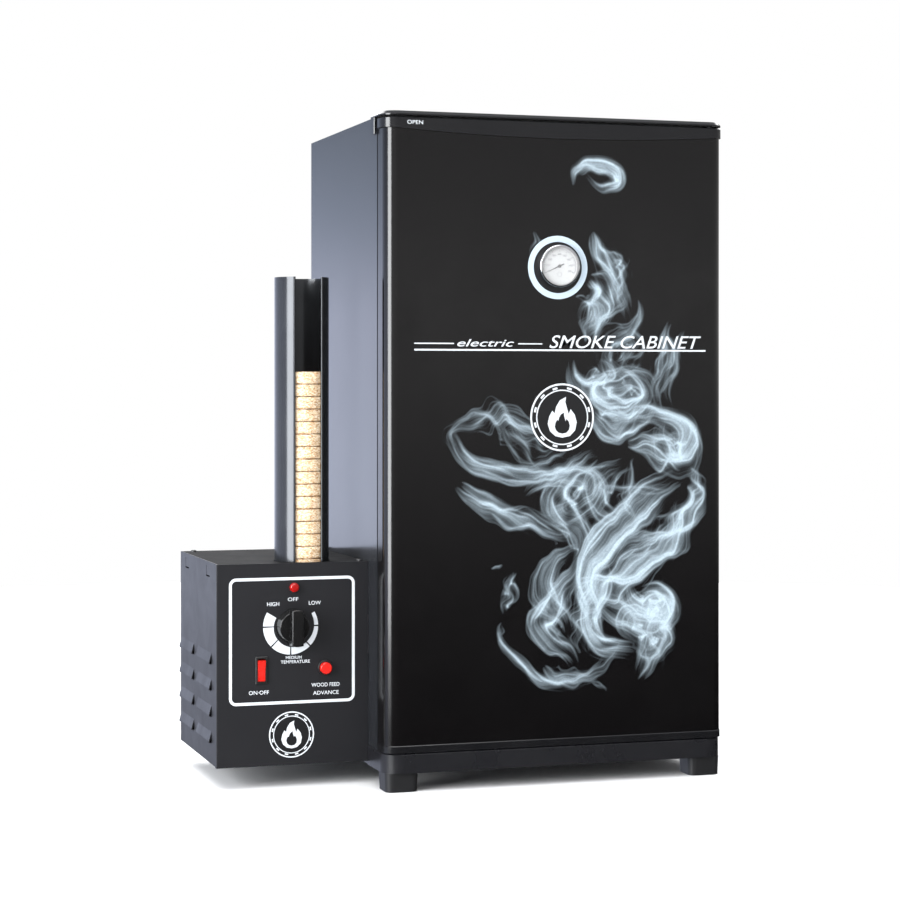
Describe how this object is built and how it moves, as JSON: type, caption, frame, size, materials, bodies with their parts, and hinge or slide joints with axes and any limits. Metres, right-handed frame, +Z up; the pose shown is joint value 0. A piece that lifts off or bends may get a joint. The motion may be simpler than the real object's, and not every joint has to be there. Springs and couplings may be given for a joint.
{
  "type": "electric cabinet smoker",
  "caption": "Upright insulated cabinet smoker with a hinged front door, wire racks and a puck-fed smoke generator hung on its left side.",
  "frame": {"origin": "on the floor, under the centre of the bounding box", "axes": "+X to the right seen from the door, +Y to the rear, +Z up; the door faces -Y"},
  "size_m": [0.6104, 0.369, 0.787],
  "materials": {
    "case_paint": "smooth satin black coat",
    "rear_steel": "satin grey coat",
    "frame_steel": "satin stainless",
    "wool": "mineral wool",
    "foam": "mineral wool",
    "rack_wire": "plated wire",
    "pan_steel": "pressed stainless",
    "heater": "heat-darkened sheath",
    "moulded_grey": "fine-grained dark moulding",
    "vent_black": "satin black",
    "door_gloss": "smooth black coat",
    "seal": "matte seal",
    "bezel": "polished",
    "dial_white": "printed white",
    "lens": "clear",
    "probe": "plain stainless",
    "pointer": "black",
    "gen_black": "fine-textured black powder coat",
    "inlet_black": "moulded black",
    "screw_steel": "zinc plated",
    "tube": "black anodised",
    "puck": "pressed sawdust",
    "channel": "folded galvanised",
    "burner": "heat-blackened",
    "slide": "machined",
    "gear": "cut teeth",
    "motor": "plated case",
    "knob_black": "polished black",
    "switch_black": "moulded black",
    "switch_red": "red",
    "lamp_red": "translucent red",
    "board": "green circuit board"
  },
  "bodies": {
    "cabinet": {"left_side_panel": "case_paint", "right_side_panel": "case_paint", "top_panel": "case_paint", "rear_panel": "rear_steel", "hinge_brackets": "rear_steel", "hanger_bars": "rear_steel", "face_frame": "frame_steel", "liner_sides": "frame_steel", "liner_back": "frame_steel", "liner_top": "frame_steel", "liner_floor": "frame_steel", "rack_rails": "frame_steel", "insulation": "wool", "rack_1": "rack_wire", "rack_2": "rack_wire", "rack_3": "rack_wire", "rack_4": "rack_wire", "drip_pan": "pan_steel", "water_bowl": "pan_steel", "smoke_duct": "pan_steel", "heating_element": "heater", "base_plinth": "moulded_grey", "feet": "moulded_grey", "top_trim": "moulded_grey", "vent_collar": "vent_black", "gen_front_panel": "gen_black", "gen_side_cover": "gen_black", "gen_top_plate": "gen_black", "gen_rear_panel": "gen_black", "gen_chassis": "gen_black", "power_inlets": "inlet_black", "heat_regulator": "inlet_black", "screws": "screw_steel", "hopper_tube": "tube", "wood_pucks": "puck", "feed_channel": "channel", "burner_plate": "burner", "feed_motor": "motor", "rocker_frame": "switch_black", "button_frame": "switch_black", "indicator_lamp": "lamp_red", "control_board": "board"},
    "door": {"door_skin": "door_gloss", "door_foam": "foam", "door_liner": "frame_steel", "door_gasket": "seal", "door_bottom_cap": "moulded_grey", "door_top_cap": "moulded_grey", "thermometer_case": "bezel", "thermometer_dial": "dial_white", "thermometer_lens": "lens", "thermometer_probe": "probe"},
    "needle": {"thermometer_needle": "pointer"},
    "damper": {"vent_damper": "vent_black"},
    "knob": {"control_knob": "knob_black"},
    "rocker_key": {"rocker": "switch_red"},
    "button": {"advance_button": "switch_red"},
    "feed_slide": {"pusher": "slide", "fed_puck": "puck"},
    "pinion": {"drive_pinion": "gear"}
  },
  "joints": [
    {"name": "door_hinge", "type": "hinge", "parent": "cabinet", "child": "door", "pos_m": [0.29075, -0.1625, 0.4], "axis": [0, 0, 1], "range_deg": [0, 135]},
    {"name": "thermometer_turn", "type": "hinge", "parent": "door", "child": "needle", "pos_m": [0.09025, -0.1815, 0.61], "axis": [0, 1, 0], "range_deg": [0, 228]},
    {"name": "vent_turn", "type": "hinge", "parent": "cabinet", "child": "damper", "pos_m": [0.09025, 0.0051, 0.785], "axis": [0, 0, 1], "range_deg": [0, 60]},
    {"name": "heat_knob", "type": "hinge", "parent": "cabinet", "child": "knob", "pos_m": [-0.21325, -0.1015, 0.188], "axis": [0, 1, 0], "range_deg": [0, 300]},
    {"name": "power_rocker", "type": "hinge", "parent": "cabinet", "child": "rocker_key", "pos_m": [-0.25025, -0.098, 0.138], "axis": [1, 0, 0], "range_deg": [-18, 0]},
    {"name": "advance_press", "type": "slide", "parent": "cabinet", "child": "button", "axis": [0, 1, 0], "range_m": [0, 0.003], "stiffness_N_per_m": 400, "springref_m": -0.002},
    {"name": "puck_feed", "type": "slide", "parent": "cabinet", "child": "feed_slide", "axis": [1, 0, 0], "range_m": [0, 0.061]},
    {"name": "pinion_turn", "type": "hinge", "parent": "cabinet", "child": "pinion", "pos_m": [-0.23325, -0.023, 0.162], "axis": [0, 0, 1], "range_deg": [0, 292]}
  ],
  "couplings": [
    {"joint": "pinion_turn", "follows": "puck_feed", "rad_per_m": 83.333}
  ]
}
